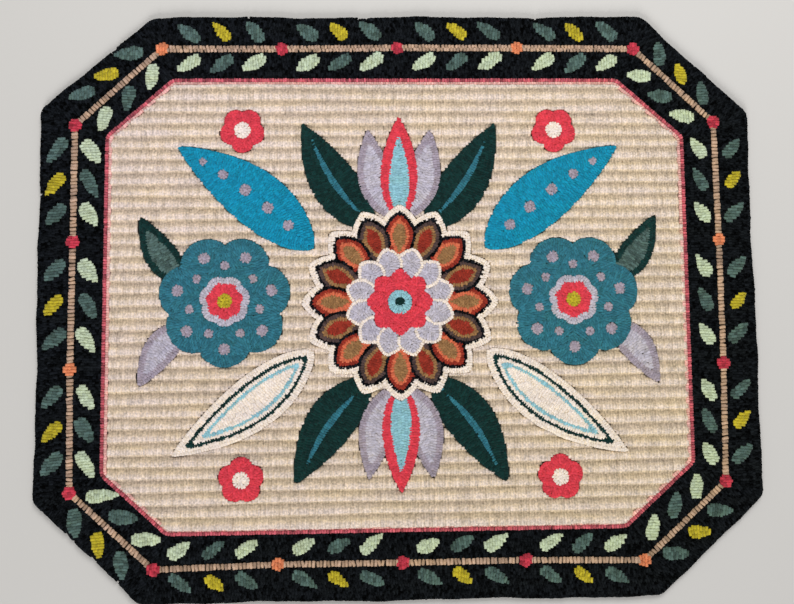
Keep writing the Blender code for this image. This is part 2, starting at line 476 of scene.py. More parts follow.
@dataclass(frozen=True)
class Border:
    """The black border: a vine from berry to berry, with leaves on both sides."""

    berries: tuple[tuple[float, float, Yarn], ...] = (  # x, y, yarn; anticlockwise
        (0.2574, 0.2759, Yarn.BERRY), (0.1295, 0.2768, Yarn.MARIGOLD), (-0.0010, 0.2767, Yarn.BERRY),
        (-0.1262, 0.2754, Yarn.BERRY), (-0.2547, 0.2752, Yarn.MARIGOLD), (-0.3463, 0.1919, Yarn.BERRY),
        (-0.3466, 0.0659, Yarn.BERRY), (-0.3473, -0.0689, Yarn.MARIGOLD), (-0.3458, -0.1968, Yarn.BERRY),
        (-0.2583, -0.2765, Yarn.BERRY), (-0.1293, -0.2728, Yarn.MARIGOLD), (0.0008, -0.2728, Yarn.BERRY),
        (0.1297, -0.2718, Yarn.BERRY), (0.2553, -0.2735, Yarn.MARIGOLD), (0.3441, -0.1925, Yarn.BERRY),
        (0.3458, -0.0672, Yarn.BERRY), (0.3453, 0.0656, Yarn.MARIGOLD), (0.3431, 0.1946, Yarn.BERRY),
    )
    berry_radius: dict[Yarn, float] = field(default_factory=lambda: {
        Yarn.BERRY: 6.6 * MM, Yarn.MARIGOLD: 6.5 * MM,
    })
    berry_lobes: int = 5
    berry_dip: float = 0.08
    berry_turn: float = 90.0  # radians for each metre to the right
    berry_lift: float = 1.5  # as a share of the leaves'
    side_reach: float = 0.23  # how far up and down the berries of the sides lie at most
    vine_half_width: float = 3.2 * MM
    vine_twin: Stitch = Stitch(4.4 * MM, 3.8 * MM, 3.65 * MM, 0.16)
    vine_bar: Stitch = Stitch(7.1 * MM, 3.75 * MM, 3.80 * MM, 0.14)
    vine_left: Stitch = Stitch(7.6 * MM, 3.75 * MM, 3.80 * MM, 0.12)
    vine_slant: float = 0.10
    vine_scatter: float = 0.3 * MM
    vine_start: float = 5.5 * MM
    straight: float = 0.85  # how squarely the vine runs along a side that is worked in its own way
    leaf_stations: tuple[float, ...] = (0.226, 0.50, 0.768)
    leaf_length: float = 28.5 * MM
    leaf_width: float = 14.8 * MM
    leaf_shares: dict[Yarn, tuple[float, float]] = field(default_factory=lambda: {  # of the length and width
        Yarn.SPRUCE: (1.0, 0.92), Yarn.SAGE: (0.99, 0.96), Yarn.MUSTARD: (0.87, 0.85),
    })
    leaf_taper: tuple[tuple[float, float], ...] = (  # part of the length from the vine, share of the width
        (0.0, 0.44), (0.05, 0.70), (0.16, 0.92), (0.34, 1.0),
        (0.56, 0.96), (0.74, 0.76), (0.90, 0.46), (1.0, 0.22),
    )
    stalk: tuple[float, float] = (1.10, 0.14)
    stalk_share: float = 0.2
    leaf_scatter: float = 0.6 * MM
    lean_scatter: float = 4.0
    leaf_sizes: tuple[float, float] = (0.94, 1.06)
    leaf_waver: tuple[float, float] = (0.84, 1.14)
    grain_pull: float = 0.6
    grain_scatter: float = 5.0
    habits: tuple[LeafHabit, ...] = (  # by the way the vine runs, in eighths of a turn from the right
        LeafHabit(15.8, 18.8, 34, 32, 0.91, -0.015), LeafHabit(18.3, 18.9, 44, 38, 0.95, 0.02),
        LeafHabit(18.6, 17.2, 42, 32, 0.90, 0.01), LeafHabit(15.9, 18.9, 32, 35, 0.93, 0.028),
        LeafHabit(19.2, 15.9, 40, 34, 0.96, 0.006), LeafHabit(20.0, 15.7, 31, 35, 0.99, 0.01),
        LeafHabit(19.0, 17.3, 42, 34, 1.03), LeafHabit(18.8, 18.6, 41, 39, 1.045),
    )
    outer_yarns: tuple[Yarn, ...] = (Yarn.SPRUCE, Yarn.MUSTARD, Yarn.SPRUCE)
    inner_yarns: tuple[Yarn, ...] = (Yarn.SAGE, Yarn.SPRUCE, Yarn.SAGE)
    lift: float = 0.6 * MM

    def berry_places(self) -> Points:
        """Give the middles of the berries."""
        return np.array([(x, y) for x, y, _ in self.berries])

    def vine_line(self) -> Points:
        """Draw the middle of the vine."""
        return resampled(self.berry_places(), 2.0 * MM)

    def vine(self) -> Shape:
        """Draw the band that the vine's long stitches cover."""
        line = self.vine_line()
        hole = offset(line, self.vine_half_width)
        return Shape(offset(line, -self.vine_half_width), (Yarn.BARK,), 0, hole, self.lift)

    def vine_stitches(self, rng: np.random.Generator) -> Iterator[tuple[Stitch, Points, Points]]:
        """Walk the vine: one row of slanted bars, coarser on the left, but two rows of loops on the far side.

        Args:
            rng: where the uneven spacing comes from.

        Yields:
            The stitch of a row, the places of its loops and the direction of the row at each.
        """
        line = self.vine_line()
        along = run_direction(line)
        twin, left = along[:, 0] < -self.straight, along[:, 1] < -self.straight
        slant = self.vine_slant * np.stack((-along[:, 1], along[:, 0]), axis=1)
        rows = [
            (self.vine_bar, line, along + slant, ~(twin | left)),
            (self.vine_left, line, along + slant, left),
        ]
        for shift in (-self.vine_half_width / 2, self.vine_half_width / 2):
            rows.append((self.vine_twin, offset(line, shift), along + 2 * slant, twin))
        for stitch, middle, way, clear in rows:
            places, directions = spaced_along(middle, unit(way), clear, stitch.step)
            yield stitch, places + directions * rng.normal(0, self.vine_scatter, len(places))[:, None], directions

    def leaves(self, rng: np.random.Generator) -> list[Shape]:
        """Draw the leaves of every stretch of vine, each a little different as hand work is.

        Args:
            rng: where the differences come from.

        Returns:
            The leaves.
        """
        shapes = []
        berries = self.berry_places()
        for start, end in zip(berries, np.roll(berries, -1, axis=0)):
            along = unit(end - start)
            outward = np.array((along[1], -along[0]))
            habit = self.habits[round(math.atan2(along[1], along[0]) / (math.pi / 4)) % 8]
            for place, outer, inner in zip(self.leaf_stations, self.outer_yarns, self.inner_yarns):
                for side, gap, lean, yarn in (
                    (1.0, habit.outer_gap, habit.outer_lean, outer),
                    (-1.0, habit.inner_gap, habit.inner_lean, inner),
                ):
                    centre = start + (end - start) * (place + habit.shift) + outward * side * gap * MM
                    centre = centre + rng.normal(0, self.leaf_scatter, 2)
                    turn = math.radians(lean + rng.normal(0, self.lean_scatter))
                    way = along * math.cos(turn) + outward * side * math.sin(turn)
                    long, wide = self.leaf_shares[yarn]
                    reach = way * self.leaf_length * long * habit.size * rng.uniform(*self.leaf_sizes) / 2
                    width = self.leaf_width * wide * habit.size * rng.uniform(*self.leaf_sizes)
                    grain_turn = rng.normal(0, math.radians(self.grain_scatter))
                    grain = self.grain(way + self.grain_pull * along, grain_turn)
                    shapes.append(self.one_leaf(centre - reach, centre + reach, width, yarn, grain, rng))
        return shapes

    def grain(self, way: Points, turn: float) -> Points:
        """Give the way that rows run, level or upright, whichever is closer to a way, turned a little."""
        angle = turn if abs(way[0]) > abs(way[1]) else turn + math.pi / 2
        return np.array((math.cos(angle), math.sin(angle)))

    def one_leaf(
        self, base: Points, tip: Points, width: float, yarn: Yarn, grain: Points, rng: np.random.Generator
    ) -> Shape:
        """Draw one leaf, blunt towards the vine, with sides that waver from one stitch to the next.

        Args:
            base: its end near the vine.
            tip: its other end.
            width: its greatest width.
            yarn: what it is worked in.
            grain: the way its rows run.
            rng: where the unevenness comes from; some tips end in a short stalk.

        Returns:
            The leaf.
        """
        taper = self.leaf_taper + ((self.stalk,) if rng.random() < self.stalk_share else ())
        parts, shares = np.array(taper).T
        across = unit(tip - base)[::-1] * np.array((-1.0, 1.0))
        spine = base + np.outer(parts, tip - base)
        sides = [
            spine + np.outer(way * shares * width / 2 * rng.uniform(*self.leaf_waver, len(parts)), across)
            for way in (-1.0, 1.0)
        ]
        outline = resampled(np.concatenate((sides[0], sides[1][::-1])), MM)
        return Shape(softened(outline, 1), (yarn,), lift=self.lift, grain=grain)

    def fruit(self) -> list[Shape]:
        """Draw the berries, worked in upright loops at top and bottom and level ones at the sides."""
        shapes = []
        for x, y, yarn in self.berries:
            radius, turn = self.berry_radius[yarn], x * self.berry_turn
            outline = resampled(lobed((x, y), radius, self.berry_lobes, self.berry_dip, turn), MM)
            grain = np.array((1.0, 0.0) if abs(y) > self.side_reach else (0.0, 1.0))
            shapes.append(Shape(outline, (yarn,), lift=self.berry_lift * self.lift, grain=grain))
        return shapes

    def surrounds(self, motifs: list[Shape], row: float) -> list[Shape]:
        """Draw the single row of black worked round each motif."""
        edges = [resampled(offset(motif.outline, -row), MM) for motif in motifs]
        return [Shape(edge, (Yarn.BLACK,), 1, stitch=RIM) for edge in edges]


@dataclass(frozen=True)
class Bouquet:
    """The flowers and leaves of the middle, nearly the same on both sides."""

    step: float = 1.0 * MM
    lift: float = 0.8 * MM
    petal_belly: float = 0.62

    def drawn(self, outline: Points, *yarns: Yarn) -> Shape:
        """Make a shape of an outline in millimetres."""
        return Shape(resampled(outline * MM, self.step), yarns, lift=self.lift)

    def both_sides(self, outline: Points, *yarns: Yarn) -> list[Shape]:
        """Make a shape and its twin on the left."""
        return [self.drawn(outline, *yarns), self.drawn(mirrored(outline), *yarns)]

    def foliage(self) -> list[Shape]:
        """Draw the leaves around the flowers, from the lowest up."""
        shapes = []
        for base, tip, width, bend in (
            ((30, 78), (104, 192), 50, -6),
            ((34, -80), (112, -190), 50, 6),
        ):
            shapes += self.both_sides(leaf(base, tip, width, bend), Yarn.FOREST)
            rib = leaf(self.between(base, tip, 0.12), self.between(base, tip, 0.86), 7, bend, 0.5)
            shapes += self.both_sides(rib, Yarn.TEAL)
        shapes += self.both_sides(leaf((92, 58), (236, 168), 60, 6), Yarn.TURQUOISE)
        for part, size in ((0.20, 6.0), (0.36, 6.5), (0.53, 6.5), (0.69, 5.5), (0.83, 4.5)):
            spot = self.between((92, 58), (236, 168), part) + np.array((-3.6, 4.7)) * math.sin(math.pi * part)
            shapes += self.both_sides(lobed(spot, size, 4, 0.10, part), Yarn.MAUVE)
        stripes = (Yarn.IVORY, Yarn.IVORY, Yarn.FOREST, Yarn.IVORY, Yarn.SKY, Yarn.IVORY)
        shapes += self.both_sides(leaf((92, -52), (240, -160), 56, -6), *stripes)
        shapes += self.both_sides(leaf((226, 20), (276, 92), 34, -5), Yarn.FOREST, Yarn.FOREST, Yarn.SPRUCE)
        shapes += self.both_sides(leaf((226, -20), (276, -88), 34, 5), Yarn.MAUVE, Yarn.MAUVE, Yarn.DOVE)
        return shapes

    def between(self, base: Sequence[float], tip: Sequence[float], part: float) -> Points:
        """Give the point a part of the way from base to tip."""
        return np.array(base) * (1 - part) + np.array(tip) * part

    def buds(self) -> list[Shape]:
        """Draw the buds above and below the middle flower."""
        shapes = []
        for way in (1, -1):
            sepal = leaf((0, way * 86), (34, way * 186), 40, -8 * way)
            shapes += self.both_sides(sepal, Yarn.MAUVE, Yarn.MAUVE, Yarn.DOVE)
            shapes.append(self.drawn(leaf((0, way * 88), (0, way * 200), 40), Yarn.CORAL))
            shapes.append(self.drawn(leaf((0, way * 92), (0, way * 180), 22), Yarn.SKY))
        return shapes

    def side_flowers(self) -> list[Shape]:
        """Draw the spotted flowers left and right, and the small ones in the corners."""
        shapes = []
        centre = np.array((186.0, 2.0))
        shapes += self.both_sides(lobed(centre, 70, 7, 0.16, math.pi / 2), Yarn.TEAL)
        for ring, size, shift in ((51, 6.5, 0.5), (38, 5.0, 0.0)):
            for number in range(7):
                angle = math.pi / 2 + (number + shift) * 2 * math.pi / 7
                spot = centre + ring * np.array((math.cos(angle), math.sin(angle)))
                shapes += self.both_sides(lobed(spot, size, 4, 0.12, angle), Yarn.MAUVE)
        shapes += self.both_sides(lobed(centre, 27, 7, 0.12, math.pi / 2), Yarn.DOVE, Yarn.DOVE, Yarn.CORAL)
        shapes += self.both_sides(lobed(centre, 8, 7, 0.05), Yarn.MUSTARD)
        for way in (1, -1):
            small = (168, way * 186)
            shapes += self.both_sides(lobed(small, 24, 5, 0.20, way * math.pi / 2), Yarn.CORAL)
            shapes += self.both_sides(lobed(small, 9, 5, 0.05), Yarn.IVORY)
        return shapes

    def petals(
        self, number: int, inner: float, outer: float, width: float, shift: float = 0.0
    ) -> list[Points]:
        """Draw a ring of petals round the middle flower's centre.

        Args:
            number: how many there are.
            inner: how far from the centre they begin.
            outer: how far from it their tips are.
            width: the greatest width of each.
            shift: how far the ring is turned, as a share of the way from one petal to the next.

        Returns:
            The petals' outlines.
        """
        outlines = []
        for petal in range(number):
            angle = (petal + shift) * 2 * math.pi / number
            way = np.array((math.cos(angle), math.sin(angle)))
            outlines.append(leaf(way * inner, way * outer, width, 0.0, self.petal_belly))
        return outlines

    def middle_flower(self) -> list[Shape]:
        """Draw the large flower in the middle, ring by ring."""
        shapes = [self.drawn(outline, Yarn.IVORY) for outline in self.petals(16, 30, 105, 42)]
        for number, outline in enumerate(self.petals(16, 30, 98, 35)):
            warm = (Yarn.BLACK, Yarn.RUST, Yarn.APRICOT, Yarn.TAN)
            cool = (Yarn.BLACK, Yarn.UMBER, Yarn.TAN, Yarn.RUST)
            shapes.append(self.drawn(outline, *(cool if number % 2 else warm)))
        for outline in self.petals(12, 14, 60, 29, 0.5):
            shapes.append(self.drawn(outline, Yarn.IVORY, Yarn.DOVE))
        for outline in self.petals(8, 2, 36, 23):
            shapes.append(self.drawn(outline, Yarn.CORAL))
        shapes.append(self.drawn(lobed((0, 0), 13, 8, 0.05), Yarn.SKY))
        shapes.append(self.drawn(lobed((0, 0), 5, 8, 0.05), Yarn.FOREST))
        return shapes

    def shapes(self) -> list[Shape]:
        """Draw the whole bouquet, from the lowest shape up."""
        return self.foliage() + self.buds() + self.side_flowers() + self.middle_flower()


@dataclass(frozen=True)
class Ribs:
    """The ribbed ground: strands lie up and down across each rib, and dip into the grooves between ribs.

    Each rib falls steeply on its near side and gently on its far side.
    """

    pitch: float = 12.97 * MM
    origin: float = -236.4 * MM
    slope: float = 0.0071
    slope_loss: float = 0.00018
    wander: float = 0.6 * MM
    step: float = 2.85 * MM
    width: float = 4.2 * MM
    body: float = 2.4 * MM
    shortest: float = 1.0 * MM
    depth: float = 2.9 * MM
    near_flank: float = 2.4 * MM
    far_flank: float = 7.8 * MM
    wave_turn: float = 0.02  # radians for each millimetre
    wave_shift: float = 1.7
    parts: tuple[float, float, int] = (-0.02, 1.02, 27)  # first, last and number of the points across a rib

    def groove_line(self, x: Points, number: Points) -> Points:
        """Give the height on the rug of a groove where it passes x."""
        rise = (self.slope - self.slope_loss * number) * x
        wave = self.wander * np.sin(self.wave_turn * x / MM + self.wave_shift * number)
        return self.origin + self.pitch * number + rise + wave

    def strands(self, half_width: float, half_height: float, free: Callable) -> tuple[Points, Points, Points]:
        """Find the strands, each as long as the ground is free across its rib.

        Args:
            half_width: the ground's reach to either side.
            half_height: its reach up and down.
            free: tells of each of a list of points whether it is bare ground.

        Returns:
            The strands' places across the rug, and where each begins and ends.
        """
        x = np.arange(-half_width, half_width, self.step)
        part = np.linspace(*self.parts)
        found = []
        for number in range(math.ceil(2 * half_height / self.pitch)):
            low, high = self.groove_line(x, number), self.groove_line(x, number + 1)
            low = low - (0.0 if number else self.pitch / 2)
            y = low[:, None] + (high - low)[:, None] * part
            points = np.stack((np.broadcast_to(x[:, None], y.shape), y), axis=2).reshape(-1, 2)
            change = np.diff(np.pad(free(points).reshape(y.shape), ((0, 0), (1, 1))).astype(int), axis=1)
            columns, starts = np.nonzero(change == 1)
            ends = np.nonzero(change == -1)[1] - 1
            found.append((x[columns], y[columns, starts], y[columns, ends]))
        where, start, end = (np.concatenate(item) for item in zip(*found))
        kept = end - start > self.shortest
        return where[kept], start[kept], end[kept]

    def drop(self, x: Points, y: Points) -> Points:
        """Give how far the pile lies below its top at each place."""
        number = np.round((y - self.origin - self.slope * x) / (self.pitch - self.slope_loss * x))
        away = y - self.groove_line(x, number)
        share = np.where(away > 0, away / self.near_flank, -away / self.far_flank).clip(0, 1)
        return self.depth * (number > 0) * (1 + np.cos(np.pi * share)) / 2


@dataclass
class Loops:
    """Loops that are placed: where they stand, how their rows run, their stitch, lift, yarn and shape."""

    places: list[Points] = field(default_factory=list)
    directions: list[Points] = field(default_factory=list)
    stitches: list[Points] = field(default_factory=list)
    lifts: list[Points] = field(default_factory=list)
    yarns: list[Points] = field(default_factory=list)
    owners: list[Points] = field(default_factory=list)

    def add(
        self,
        places: Points,
        directions: Points,
        stitch: Stitch,
        lengths: Points,
        lift: float,
        yarn: Yarn,
        owner: int,
    ) -> None:
        """Note a run of loops of one yarn in one shape.

        Args:
            places: where they stand.
            directions: how their row runs at each.
            stitch: how they are worked.
            lengths: how long each is.
            lift: how far they rise above the pile.
            yarn: their yarn.
            owner: the number of their shape.
        """
        total = len(places)
        self.places.append(places)
        self.directions.append(directions)
        sizes = (lengths, np.full(total, stitch.width), np.full(total, stitch.swing))
        self.stitches.append(np.stack(sizes, axis=1))
        self.lifts.append(np.full(total, lift))
        self.yarns.append(np.full(total, list(Yarn).index(yarn)))
        self.owners.append(np.full(total, owner))

    def lists(self) -> tuple:
        """Give the six lists in order."""
        return self.places, self.directions, self.stitches, self.lifts, self.yarns, self.owners

    def joined(self) -> Loops:
        """Give the same loops as single arrays."""
        return Loops(*(np.concatenate(part) for part in self.lists()))

    def picked(self, which: Points) -> Loops:
        """Give some of the loops, of arrays."""
        return Loops(*(part[which] for part in self.lists()))


class Hooking:
    """Works the design: turns its shapes into rows of loops, the uppermost shape winning at each place."""

    GAP_REACH = 2.15 * MM
    PATCH_SINK = 0.3 * MM
    RIM_LIFT = 0.3 * MM
    RIM_ROWS, FRINGE_ROWS, RIB_ROWS = -0.5, 0.55, 1.25  # how many rows each lies inside the pink line's middle
    RIB_DROP = 1.3 * MM

    def __init__(self, plan: RugPlan, gauge: Gauge, ribs: Ribs, rng: np.random.Generator) -> None:
        """Take the rug's plan and the maker's gauge.

        Args:
            plan: the edges of the rug and of its ground.
            gauge: the spacing of rows.
            ribs: the strands of the ground.
            rng: where small differences come from.
        """
        self.plan, self.gauge, self.ribs, self.rng = plan, gauge, ribs, rng
        self.edge = plan.edge()
        self.reach = np.abs(self.edge).max(axis=0) + 5 * MM
        self.map, self.hearts = CoverMap(*self.reach), CoverMap(*self.reach)
        self.loops = Loops()
        self.strands: tuple[Points, ...] = ()

    def work(self) -> Loops:
        """Lay out all shapes, then hook each where it shows.

        Returns:
            The level loops of the whole rug; the strands of its ground are kept apart.
        """
        border, row = Border(), self.gauge.row
        line = self.plan.ground_edge()
        rim = Shape(offset(line, self.RIM_ROWS * row), (Yarn.ROSE,), 1, lift=self.RIM_LIFT, stitch=LINE)
        ground = Shape(offset(line, self.FRINGE_ROWS * row), (Yarn.BLUSH,), 1, stitch=FRINGE)
        motifs, fruit = border.leaves(self.rng), border.fruit()
        shapes = [Shape(self.edge, (Yarn.BLACK,)), *border.surrounds([rim, *motifs, *fruit], row)]
        vine_number, rim_number, ground_number = (len(shapes) + place for place in range(3))
        shapes += [border.vine(), rim, ground, *motifs, *fruit, *Bouquet().shapes()]
        for number, shape in enumerate(shapes):
            spread = 0.0 if shape.yarns == (Yarn.BLACK,) else self.gauge.cover
            before = self.map.owner.copy()
            self.map.paint(offset(shape.outline, -spread), number)
            if shape.hole is None:
                self.hearts.paint(offset(shape.outline, spread), number)
            else:
                beyond = CoverMap(*self.reach)
                beyond.paint(offset(shape.hole, spread), 1)
                self.map.owner = np.where(beyond.owner == 1, before, self.map.owner)
        for number, shape in enumerate(shapes):
            for yarn, stitch, places, directions, lengths in self.gauge.rows(shape, self.rng):
                kept = self.map.owner_at(places) == number
                run = places[kept], directions[kept], stitch, lengths[kept]
                self.loops.add(*run, shape.lift, yarn, number)
        for stitch, places, directions in border.vine_stitches(self.rng):
            kept = nearest_distance(places, border.berry_places()) > border.vine_start
            run = places[kept], directions[kept], stitch, np.full(kept.sum(), stitch.length)
            self.loops.add(*run, border.lift, Yarn.BARK, vine_number)
        ribbed = offset(line, self.RIB_ROWS * row) - np.array((0.0, self.RIB_DROP))
        self.work_ribs(ground_number, ribbed)
        echoing = [number for number, shape in enumerate(shapes) if shape.grain is None and shape.rows]
        self.fill_gaps([number for number in echoing if number not in (rim_number, ground_number)])
        return self.loops.joined()

    def work_ribs(self, number: int, outline: Points) -> None:
        """Lay the ground's strands inside an outline, where the ground shows.

        Args:
            number: the ground's number among the shapes.
            outline: the edge of the ribs.
        """
        inside = CoverMap(*self.reach)
        inside.paint(outline, 1)

        def free(points: Points) -> Points:
            """Tell whether each point is bare ground."""
            return (self.map.owner_at(points) == number) & (inside.owner_at(points) == 1)

        self.strands = self.ribs.strands(*np.abs(outline).max(axis=0), free)

    def fill_gaps(self, echoing: list[int]) -> None:
        """Put a loop of the nearest yarn wherever rows that echo a shape's outline leave a hole.

        Args:
            echoing: the numbers of the shapes that have such rows.
        """
        placed = self.loops.joined()
        inside = CoverMap(*self.reach)
        inside.paint(offset(self.edge, self.gauge.row / 2), 1)
        bare = (inside.owner == 1) & np.isin(self.map.owner, echoing) & (self.map.owner == self.hearts.owner)
        cells = self.GAP_REACH / CoverMap.CELL
        span = range(-math.ceil(cells), math.ceil(cells) + 1)
        disc = [(down, right) for down in span for right in span if math.hypot(down, right) <= cells]
        highest, widest = bare.shape[0] - 1, bare.shape[1] - 1
        rows, columns = self.map.cells_of(placed.places)
        for down, right in disc:
            bare[(rows + down).clip(0, highest), (columns + right).clip(0, widest)] = False
        added = 0
        for row, column in zip(*np.nonzero(bare)):
            owner = self.map.owner[row, column]
            mates = np.flatnonzero(placed.owners == owner)
            if not bare[row, column] or len(mates) == 0:
                continue
            place = self.map.corner + (np.array((column, row)) + 0.5) * CoverMap.CELL
            mate = mates[np.argmin(np.linalg.norm(placed.places[mates] - place, axis=1))]
            yarn = list(Yarn)[placed.yarns[mate]]
            lift = placed.lifts[mate] - self.PATCH_SINK
            length = np.array([PATCH.length])
            self.loops.add(place[None], placed.directions[mate][None], PATCH, length, lift, yarn, owner)
            for down, right in disc:
                bare[min(row + down, highest), min(column + right, widest)] = False
            added += 1
        log.info("%d loops fill gaps between rows", added)


class LoopModel:
    """A length of yarn as a small mesh that lies along X: one unit long and wide, with its top at 0."""

    END_SINK = 0.55

    def __init__(self, ring_places: Sequence[float], sides: int = 5) -> None:
        """Model it from a sphere laid on its side, whose rings move along to their places.

        Args:
            ring_places: where its rings are along X, between the ends at -0.5 and 0.5.
            sides: how many sides its section has.
        """
        bpy.ops.object.select_all(action="DESELECT")
        bpy.ops.mesh.primitive_uv_sphere_add(segments=sides, ring_count=len(ring_places) + 1, radius=0.5)
        master = bpy.context.object
        bpy.ops.object.mode_set(mode="EDIT")
        bpy.ops.mesh.select_all(action="SELECT")
        bpy.ops.transform.rotate(value=math.pi / 2, orient_axis="Y", center_override=(0, 0, 0))
        bpy.ops.object.mode_set(mode="OBJECT")
        points = np.array([corner.co[:] for corner in master.data.vertices])
        self.faces = [tuple(face.vertices) for face in master.data.polygons]
        bpy.data.objects.remove(master, do_unlink=True)
        ends = np.linalg.norm(points[:, 1:], axis=1) < 0.01
        section = points[:, 1:] / np.linalg.norm(points[:, 1:], axis=1).clip(1e-6)[:, None]
        if section[~ends, 1].max() < 0.999:
            section = -section
        stations = np.cos(np.pi * np.arange(1, len(ring_places) + 1) / (len(ring_places) + 1)) * -0.5
        rings = np.interp(points[:, 0], stations, ring_places)
        self.along = np.where(ends, np.sign(points[:, 0]) * 0.5, rings)
        self.across = np.where(ends, 0.0, section[:, 0] * 0.5 / math.cos(math.pi / (2 * sides)))
        self.sunk = np.where(ends, self.END_SINK, (1 - section[:, 1]) / 2)


class Pile:
    """The wool pile: joined meshes of loops and strands, yarn by yarn.

    SIZES are the least and most of the usual size. The heights, bow, body, ends and shift are in millimetres.
    """

    SHARE_LIMIT = 190_000
    LOOP_SIZES = (0.90, 1.08)
    LOOP_SCATTER = 1.0 * MM
    MOST_SCATTER = 2.5 * MM
    LOOP_SINK = 0.3 * MM
    LOOP_HEIGHTS = (-0.35, 0.25)
    LOOP_BOW = 0.9
    LOOP_BODY = 2.9
    STRAND_SIZES = (0.92, 1.10)
    STRAND_ENDS = (0.3, 0.9)
    STRAND_SHIFT = 0.3
    STRAND_HEIGHTS = (-0.25, 0.15)
    STRAND_TILT = 0.04
    MOST_TILT = 0.06

    def __init__(self, gauge: Gauge, ribs: Ribs, rng: np.random.Generator) -> None:
        """Take the gauge and the ribs, and model the two lengths of yarn that all others are copied from.

        Args:
            gauge: the height of the pile.
            ribs: the grooves that strands sink into.
            rng: where the differences between loops come from.
        """
        self.gauge, self.ribs, self.rng = gauge, ribs, rng
        self.loop = LoopModel((-0.42, 0.42))
        self.strand = LoopModel((-0.47, -0.38, -0.24, 0.06, 0.30, 0.46))

    def stand(self, loops: Loops) -> Points:
        """Copy the loop to each place, lying across its row, with the unevenness of hand work.

        Args:
            loops: the loops, as arrays.

        Returns:
            The copies' points, loop by loop.
        """
        total, rng, gauge, model = len(loops.places), self.rng, self.gauge, self.loop
        turn = np.arctan2(loops.directions[:, 1], loops.directions[:, 0]) + math.pi / 2
        turn = turn + rng.normal(0, 1, total).clip(-2, 2) * loops.stitches[:, 2]
        long = (loops.stitches[:, 0] * rng.uniform(*self.LOOP_SIZES, total))[:, None] * model.along
        wide = (loops.stitches[:, 1] * rng.uniform(*self.LOOP_SIZES, total))[:, None] * model.across
        scatter = rng.normal(0, self.LOOP_SCATTER, (total, 2)).clip(-self.MOST_SCATTER, self.MOST_SCATTER)
        middle = loops.places + scatter * loops.stitches[:, 2:]
        cos, sin = np.cos(turn)[:, None], np.sin(turn)[:, None]
        top = gauge.pile_top - self.LOOP_SINK + loops.lifts + rng.uniform(*self.LOOP_HEIGHTS, total) * MM
        bow = (2 * model.along) ** 2 * self.LOOP_BOW * MM
        x = middle[:, :1] + long * cos - wide * sin
        y = middle[:, 1:] + long * sin + wide * cos
        z = top[:, None] - bow - model.sunk * self.LOOP_BODY * MM
        return np.stack((x, y, z), axis=2)

    def lay(self, where: Points, start: Points, end: Points) -> Points:
        """Copy the strand across each rib, following its rounded height.

        Args:
            where: the strands' places across the rug.
            start: where each begins, on the near side.
            end: where each ends, on the far side.

        Returns:
            The copies' points, strand by strand.
        """
        total, rng, ribs, model = len(where), self.rng, self.ribs, self.strand
        start = start - rng.uniform(*self.STRAND_ENDS, total) * MM
        end = end + rng.uniform(*self.STRAND_ENDS, total) * MM
        y = ((start + end) / 2)[:, None] + (end - start)[:, None] * model.along
        tilt = rng.normal(0, self.STRAND_TILT, total).clip(-self.MOST_TILT, self.MOST_TILT)
        tilt = tilt[:, None] * (y - y.mean(axis=1, keepdims=True))
        wide = (ribs.width * rng.uniform(*self.STRAND_SIZES, total))[:, None] * model.across
        x = (where + rng.uniform(-self.STRAND_SHIFT, self.STRAND_SHIFT, total) * MM)[:, None] + wide + tilt
        top = self.gauge.pile_top + rng.uniform(*self.STRAND_HEIGHTS, total)[:, None] * MM
        z = top - ribs.drop(where[:, None], y) - model.sunk * ribs.body
        return np.stack((x, y, z), axis=2)

    def build(self, name: str, points: Points, model: LoopModel) -> list[bpy.types.Object]:
        """Join the copies of one yarn into meshes, as few as the size of a mesh allows.

        Args:
            name: what the meshes are called.
            points: the copies' points.
            model: what was copied.

        Returns:
            The pile's objects.
        """
        triangles = sum(len(face) - 2 for face in model.faces)
        shares = math.ceil(len(points) * triangles / self.SHARE_LIMIT)
        points = points[np.argsort(points[:, 0, 1])]
        made = []
        for number, share in enumerate(np.array_split(points, shares), 1):
            made.append(self.joined(f"{name}_{number}" if shares > 1 else name, share, model))
            log.info("%s: %d copies, %d triangles", made[-1].name, len(share), len(share) * triangles)
        return made

    def joined(self, name: str, points: Points, model: LoopModel) -> bpy.types.Object:
        """Make one mesh of copies, each with its own shade and a map along its yarn.

        Args:
            name: what it is called.
            points: the copies' points.
            model: what was copied.

        Returns:
            The mesh's object.
        """
        copies, corners = points.shape[:2]
        sizes = np.array([len(face) for face in model.faces])
        pattern = np.concatenate([np.array(face) for face in model.faces])
        mesh = bpy.data.meshes.new(name)
        mesh.vertices.add(copies * corners)
        mesh.vertices.foreach_set("co", points.ravel())
        mesh.loops.add(copies * len(pattern))
        mesh.loops.foreach_set("vertex_index", (pattern[None] + np.arange(copies)[:, None] * corners).ravel())
        mesh.polygons.add(copies * len(sizes))
        starts = np.concatenate(([0], np.cumsum(sizes)[:-1]))
        starts = starts[None] + np.arange(copies)[:, None] * len(pattern)
        mesh.polygons.foreach_set("loop_start", starts.ravel())
        mesh.polygons.foreach_set("use_smooth", np.ones(copies * len(sizes), dtype=bool))
        mesh.update(calc_edges=True)
        shade = self.rng.uniform(-1, 1, copies)
        mesh.attributes.new("shade", "FLOAT", "POINT").data.foreach_set("value", np.repeat(shade, corners))
        around = np.arctan2(model.across, 0.5 - model.sunk) / (2 * math.pi)
        yarn_map = np.stack((model.along * len(model.faces) / len(self.loop.faces), around), axis=1)[pattern]
        mesh.uv_layers.new(name="yarn").data.foreach_set("uv", np.tile(yarn_map, (copies, 1)).ravel())
        piece = bpy.data.objects.new(name, mesh)
        bpy.context.scene.collection.objects.link(piece)
        return piece


